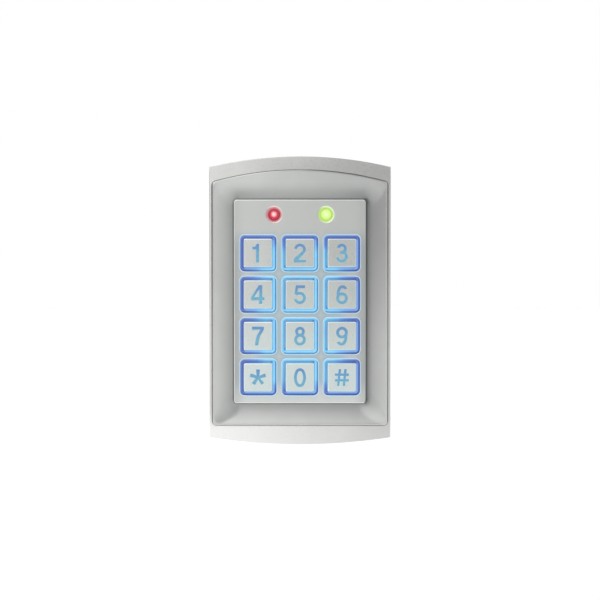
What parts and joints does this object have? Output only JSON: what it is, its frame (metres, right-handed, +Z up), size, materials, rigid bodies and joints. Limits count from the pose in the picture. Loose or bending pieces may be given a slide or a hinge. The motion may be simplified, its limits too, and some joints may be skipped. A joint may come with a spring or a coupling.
{
  "type": "keypad access reader",
  "caption": "Wall-mounted access reader: cast housing with bowed ends, dished surround, raised plate of back-lit square push keys and round status lamps, on a steel wall bracket.",
  "frame": {"origin": "centre of the wall face: on the wall plane, at the middle of the housing's width and height", "axes": "+Z up the face, +Y into the wall, +X to the right of someone facing the keys, who looks along +Y"},
  "size_m": [0.076, 0.0273, 0.121],
  "materials": {
    "cast_satin": null,
    "surround_satin": null,
    "plate_satin": null,
    "key_satin": "satin metal cap",
    "key_glow": "translucent polycarbonate, lit blue from behind",
    "guide_glow": "clear polycarbonate light guide, lit blue from behind",
    "silicone": "translucent silicone",
    "board_green": "glass-epoxy circuit board, green mask",
    "board_blue": "glass-epoxy circuit board, blue mask",
    "blue_led": "small surface light emitter",
    "red_lamp": "red epoxy lamp, lit",
    "green_lamp": "green epoxy lamp, lit",
    "black_plastic": "black moulded plastic",
    "white_plastic": "natural nylon",
    "copper_wire": null,
    "can_aluminium": "bare can",
    "sensor_resin": "clear resin over a light-sensitive track",
    "grey_plastic": "moulded cover, fine texture",
    "black_rubber": "moulded rubber",
    "zinc_plated_steel": "zinc-plated pressed steel",
    "screw_steel": "stainless steel"
  },
  "bodies": {
    "reader": {"front_housing": "cast_satin", "bezel_frame": "surround_satin", "face_plate": "plate_satin", "light_guide": "guide_glow", "key_mat": "silicone", "keypad_board": "board_green", "backlight_leds": "blue_led", "status_lamp_red": "red_lamp", "status_lamp_green": "green_lamp", "board_link": "black_plastic", "main_board": "board_blue", "reader_coil": "copper_wire", "relay": "white_plastic", "buzzer": "black_plastic", "controller_chip": "black_plastic", "power_capacitor": "can_aluminium", "harness_header": "white_plastic", "tamper_sensor": "sensor_resin", "back_cover": "grey_plastic", "rear_seal": "black_rubber", "cable_grommet": "black_rubber", "wall_bracket": "zinc_plated_steel", "clamp_screws": "screw_steel", "board_screws": "screw_steel", "keypad_screws": "screw_steel", "cover_screws": "screw_steel", "security_screw": "screw_steel"},
    "key_1": {"key_cap_1": "key_satin", "key_core_1": "key_glow"},
    "key_2": {"key_cap_2": "key_satin", "key_core_2": "key_glow"},
    "key_3": {"key_cap_3": "key_satin", "key_core_3": "key_glow"},
    "key_4": {"key_cap_4": "key_satin", "key_core_4": "key_glow"},
    "key_5": {"key_cap_5": "key_satin", "key_core_5": "key_glow"},
    "key_6": {"key_cap_6": "key_satin", "key_core_6": "key_glow"},
    "key_7": {"key_cap_7": "key_satin", "key_core_7": "key_glow"},
    "key_8": {"key_cap_8": "key_satin", "key_core_8": "key_glow"},
    "key_9": {"key_cap_9": "key_satin", "key_core_9": "key_glow"},
    "key_star": {"key_cap_star": "key_satin", "key_core_star": "key_glow"},
    "key_0": {"key_cap_0": "key_satin", "key_core_0": "key_glow"},
    "key_hash": {"key_cap_hash": "key_satin", "key_core_hash": "key_glow"}
  },
  "joints": [
    {"name": "press_1", "type": "slide", "parent": "reader", "child": "key_1", "axis": [0, 1, 0], "range_m": [0, 0.001], "stiffness_N_per_m": 700, "springref_m": -0.001},
    {"name": "press_2", "type": "slide", "parent": "reader", "child": "key_2", "axis": [0, 1, 0], "range_m": [0, 0.001], "stiffness_N_per_m": 700, "springref_m": -0.001},
    {"name": "press_3", "type": "slide", "parent": "reader", "child": "key_3", "axis": [0, 1, 0], "range_m": [0, 0.001], "stiffness_N_per_m": 700, "springref_m": -0.001},
    {"name": "press_4", "type": "slide", "parent": "reader", "child": "key_4", "axis": [0, 1, 0], "range_m": [0, 0.001], "stiffness_N_per_m": 700, "springref_m": -0.001},
    {"name": "press_5", "type": "slide", "parent": "reader", "child": "key_5", "axis": [0, 1, 0], "range_m": [0, 0.001], "stiffness_N_per_m": 700, "springref_m": -0.001},
    {"name": "press_6", "type": "slide", "parent": "reader", "child": "key_6", "axis": [0, 1, 0], "range_m": [0, 0.001], "stiffness_N_per_m": 700, "springref_m": -0.001},
    {"name": "press_7", "type": "slide", "parent": "reader", "child": "key_7", "axis": [0, 1, 0], "range_m": [0, 0.001], "stiffness_N_per_m": 700, "springref_m": -0.001},
    {"name": "press_8", "type": "slide", "parent": "reader", "child": "key_8", "axis": [0, 1, 0], "range_m": [0, 0.001], "stiffness_N_per_m": 700, "springref_m": -0.001},
    {"name": "press_9", "type": "slide", "parent": "reader", "child": "key_9", "axis": [0, 1, 0], "range_m": [0, 0.001], "stiffness_N_per_m": 700, "springref_m": -0.001},
    {"name": "press_star", "type": "slide", "parent": "reader", "child": "key_star", "axis": [0, 1, 0], "range_m": [0, 0.001], "stiffness_N_per_m": 700, "springref_m": -0.001},
    {"name": "press_0", "type": "slide", "parent": "reader", "child": "key_0", "axis": [0, 1, 0], "range_m": [0, 0.001], "stiffness_N_per_m": 700, "springref_m": -0.001},
    {"name": "press_hash", "type": "slide", "parent": "reader", "child": "key_hash", "axis": [0, 1, 0], "range_m": [0, 0.001], "stiffness_N_per_m": 700, "springref_m": -0.001}
  ]
}
